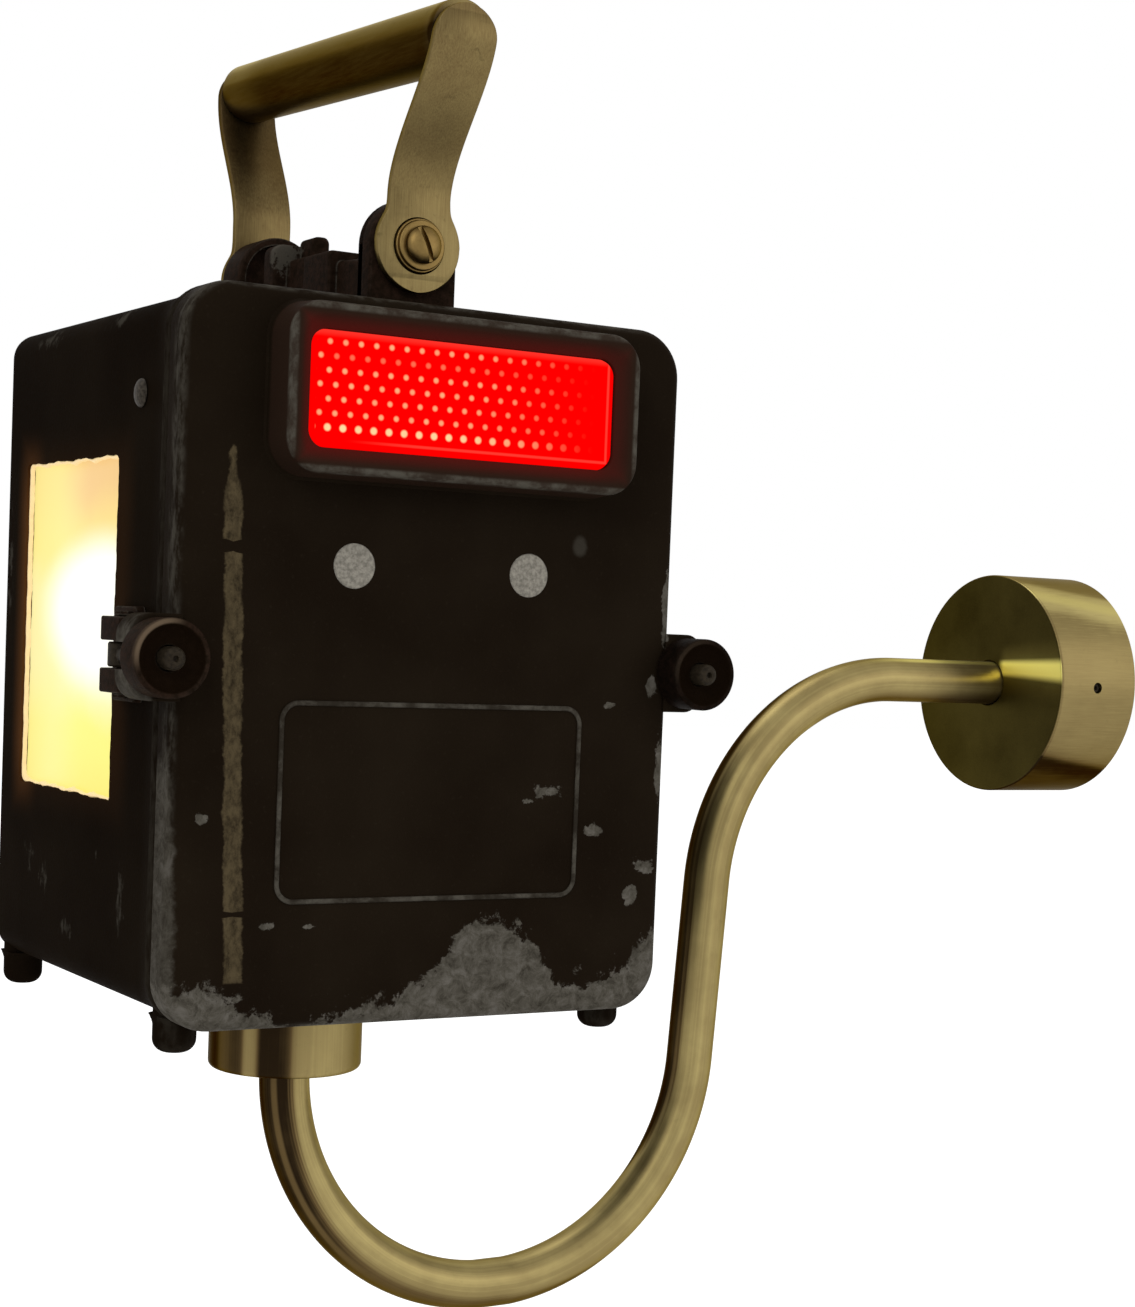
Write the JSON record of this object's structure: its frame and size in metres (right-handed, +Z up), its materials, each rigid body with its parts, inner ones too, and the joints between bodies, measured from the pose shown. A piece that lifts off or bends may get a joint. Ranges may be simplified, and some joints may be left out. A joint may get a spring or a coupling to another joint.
{
  "type": "wall lamp",
  "caption": "Wall lamp made from an old hand lantern: black cast case with red reflector lens, lit side window, clamped cover and brass bail, on a swan-neck brass tube and round canopy",
  "frame": {"origin": "the centre of the wall plate's back face, in the plane where the canopy meets the wall", "axes": "+X into the wall, the lantern's front cover faces -Y, +Z up"},
  "size_m": [0.3285, 0.1364, 0.3252],
  "materials": {
    "case_paint": "worn brown-black paint, satin",
    "cover_paint": "worn brown-black paint with bare grey patches",
    "satin_brass": "brushed satin brass",
    "aged_brass": "aged brass",
    "grey_metal": "dull grey metal",
    "plated_steel": "zinc plated",
    "seal_rubber": "matt black rubber",
    "red_lens": "clear red, lit from behind",
    "opal_pane": "opal, lit from behind",
    "bulb_glass": "frosted",
    "holder_plastic": "black moulded",
    "terminal_plastic": "white moulded"
  },
  "bodies": {
    "lamp": {"bracket_screw_front": "plated_steel", "bracket_screw_rear": "plated_steel", "bulb_cap": "plated_steel", "bulb_glass": "bulb_glass", "canopy": "satin_brass", "canopy_collar": "satin_brass", "case_shell": "case_paint", "clamp_fork_left": "case_paint", "clamp_fork_right": "case_paint", "clamp_pin_left": "case_paint", "clamp_pin_right": "case_paint", "cover_gasket": "seal_rubber", "ferrule": "satin_brass", "fork_rivet_left_lower": "case_paint", "fork_rivet_left_upper": "case_paint", "fork_rivet_right_lower": "case_paint", "fork_rivet_right_upper": "case_paint", "front_cover": "cover_paint", "grub_screw_front": "plated_steel", "grub_screw_rear": "plated_steel", "handle_bracket": "case_paint", "lampholder": "holder_plastic", "lens_retainer": "plated_steel", "lens_seal": "seal_rubber", "lock_nut": "plated_steel", "lock_washer": "plated_steel", "nipple": "plated_steel", "pivot_bush_front": "satin_brass", "pivot_bush_rear": "satin_brass", "pivot_screw_front": "aged_brass", "pivot_screw_rear": "aged_brass", "plug_left": "grey_metal", "plug_right": "grey_metal", "reflector_lens": "red_lens", "retainer_screw_left": "plated_steel", "retainer_screw_right": "plated_steel", "side_rivet_left": "grey_metal", "side_rivet_right": "grey_metal", "swan_neck": "satin_brass", "terminal_block": "terminal_plastic", "wall_plate": "plated_steel", "window_pane": "opal_pane"},
    "handle": {"handle_arm_front": "satin_brass", "handle_arm_rear": "satin_brass", "handle_grip": "satin_brass"},
    "left_bolt": {"swing_bolt_left": "grey_metal"},
    "left_knob": {"clamp_knob_left": "cover_paint"},
    "right_bolt": {"swing_bolt_right": "grey_metal"},
    "right_knob": {"clamp_knob_right": "cover_paint"}
  },
  "joints": [
    {"name": "handle_swing", "type": "hinge", "parent": "lamp", "child": "handle", "pos_m": [-0.25411, -0.0148, 0.09616], "axis": [0, 1, 0], "range_deg": [-97, 97]},
    {"name": "left_bolt_swing", "type": "hinge", "parent": "lamp", "child": "left_bolt", "pos_m": [-0.32011, -0.0548, 0.00126], "axis": [0, 0, -1], "range_deg": [0, 160]},
    {"name": "left_knob_turn", "type": "hinge", "parent": "left_bolt", "child": "left_knob", "pos_m": [-0.32011, -0.0748, 0.00126], "axis": [0, -1, 0], "continuous": true},
    {"name": "right_bolt_swing", "type": "hinge", "parent": "lamp", "child": "right_bolt", "pos_m": [-0.18811, -0.0548, 0.00126], "axis": [0, 0, 1], "range_deg": [0, 160]},
    {"name": "right_knob_turn", "type": "hinge", "parent": "right_bolt", "child": "right_knob", "pos_m": [-0.18811, -0.0748, 0.00126], "axis": [0, -1, 0], "continuous": true}
  ]
}
